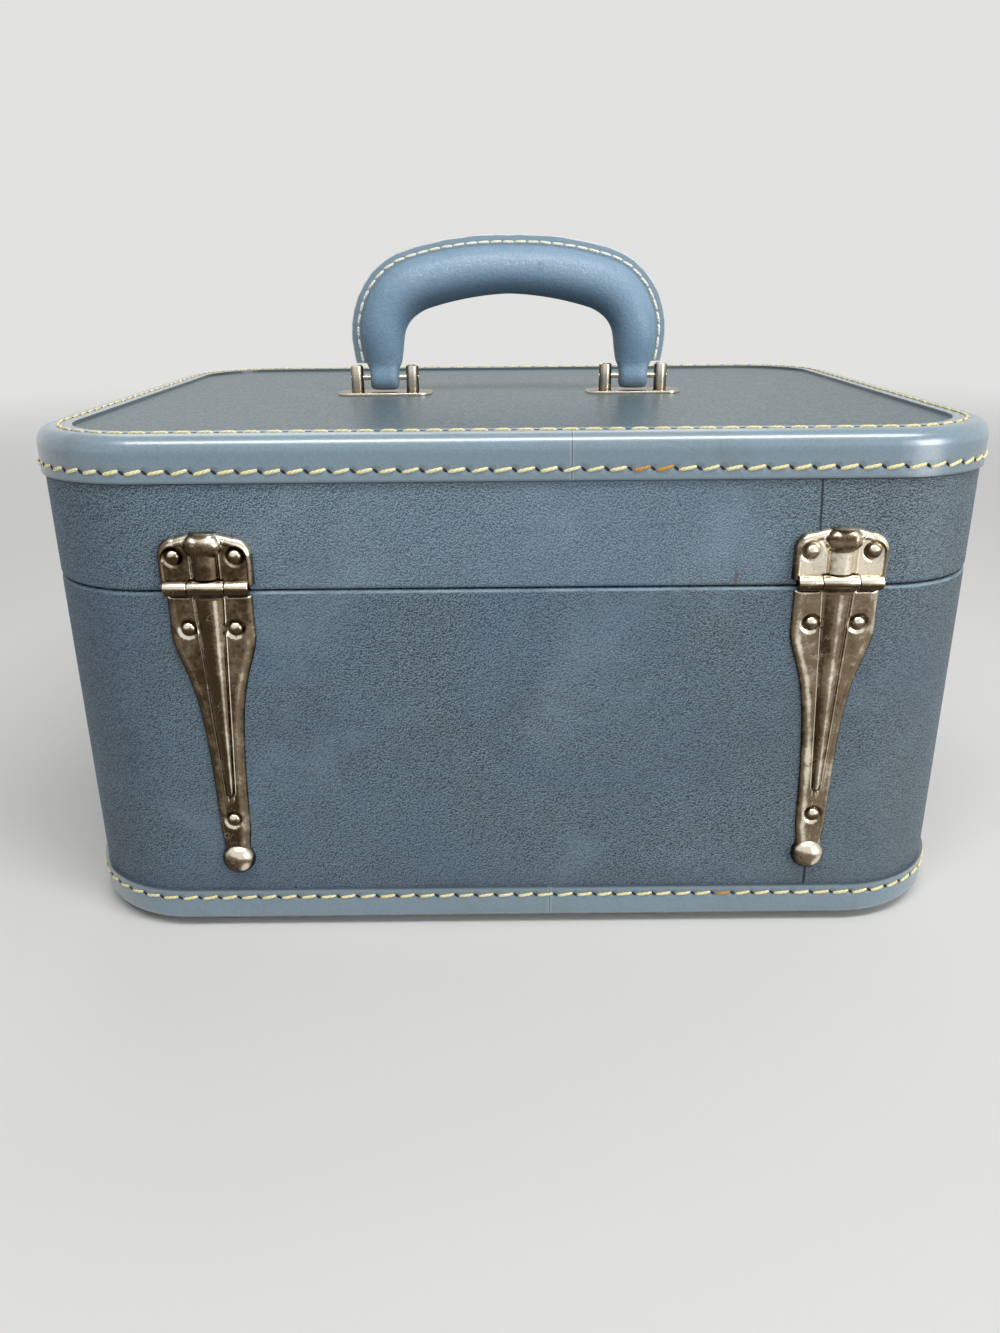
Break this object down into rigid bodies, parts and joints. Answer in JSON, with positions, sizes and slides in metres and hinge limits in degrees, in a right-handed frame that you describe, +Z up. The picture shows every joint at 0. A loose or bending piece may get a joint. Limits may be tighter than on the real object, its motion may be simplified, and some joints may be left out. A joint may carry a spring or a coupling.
{
  "type": "cosmetic train case",
  "caption": "Hard travel case with rounded corners, hinged lid, stitched edge bindings, long pressed hinges, front latches and a carrying handle on the lid.",
  "frame": {"origin": "middle of the footprint, on the plane that the feet stand on", "axes": "+Z up, +X to the right seen from the front, +Y towards the back, where the hinges are"},
  "size_m": [0.33, 0.2666, 0.2451],
  "materials": {
    "board": "bent plywood, unfinished under its coverings",
    "leatherette": "mottled grey-blue grained leatherette, worn",
    "binding": "smooth blue leather with a soft shine",
    "lining": "pale blue rayon",
    "hinge_metal": "worn nickel plate with a brownish tone",
    "nickel": "nickel plate",
    "mirror": "silvered glass"
  },
  "bodies": {
    "body": {"body_frame": "board", "bottom_board": "board", "body_cover": "leatherette", "bottom_cover": "leatherette", "bottom_binding": "binding", "feet": "nickel", "body_lining": "lining", "floor_pad": "lining", "tray_ledges": "lining", "hinge_leaf_left": "hinge_metal", "hinge_leaf_right": "hinge_metal", "hinge_leaf_rivets": "hinge_metal", "latch_plate_left": "hinge_metal", "latch_plate_right": "hinge_metal", "latch_housing_left": "hinge_metal", "latch_housing_right": "hinge_metal", "latch_plate_rivets": "nickel"},
    "lid": {"lid_frame": "board", "lid_board": "board", "lid_cover": "leatherette", "lid_panel": "leatherette", "lid_binding": "binding", "lid_lining": "lining", "lid_pad": "lining", "mirror_frame": "leatherette", "mirror_glass": "mirror", "hinge_cap_left": "hinge_metal", "hinge_cap_right": "hinge_metal", "hinge_cap_rivets": "hinge_metal", "hinge_pins": "nickel", "handle_plate_left": "nickel", "handle_plate_right": "nickel", "handle_posts": "nickel", "handle_pins": "nickel", "hasp_plate_left": "hinge_metal", "hasp_plate_right": "hinge_metal", "hasp_plate_rivets": "nickel", "hasp_pins": "nickel"},
    "handle": {"handle_cover": "binding", "handle_core": "board", "handle_loop_left": "binding", "handle_loop_right": "binding"},
    "hasp_left": {"hasp_left": "nickel"},
    "hasp_right": {"hasp_right": "nickel"},
    "slide_left": {"latch_slide_left": "nickel"},
    "slide_right": {"latch_slide_right": "nickel"},
    "tray": {"tray": "lining", "tray_divider": "lining"}
  },
  "joints": [
    {"name": "lid_hinge", "type": "hinge", "parent": "body", "child": "lid", "pos_m": [0, 0.1307, 0.1338], "axis": [-1, 0, 0], "range_deg": [0, 100]},
    {"name": "handle_tilt", "type": "hinge", "parent": "lid", "child": "handle", "pos_m": [0, 0, 0.1888], "axis": [1, 0, 0], "range_deg": [-85, 85]},
    {"name": "hasp_left_hinge", "type": "hinge", "parent": "lid", "child": "hasp_left", "pos_m": [-0.084, -0.1308, 0.14], "axis": [-1, 0, 0], "range_deg": [0, 110]},
    {"name": "hasp_right_hinge", "type": "hinge", "parent": "lid", "child": "hasp_right", "pos_m": [0.084, -0.1308, 0.14], "axis": [-1, 0, 0], "range_deg": [0, 110]},
    {"name": "slide_left", "type": "slide", "parent": "body", "child": "slide_left", "axis": [-1, 0, 0], "range_m": [0, 0.005], "stiffness_N_per_m": 200, "springref_m": -0.002},
    {"name": "slide_right", "type": "slide", "parent": "body", "child": "slide_right", "axis": [1, 0, 0], "range_m": [0, 0.005], "stiffness_N_per_m": 200, "springref_m": -0.002},
    {"name": "tray_lift", "type": "slide", "parent": "body", "child": "tray", "axis": [0, 0, 1], "range_m": [0, 0.026]}
  ]
}
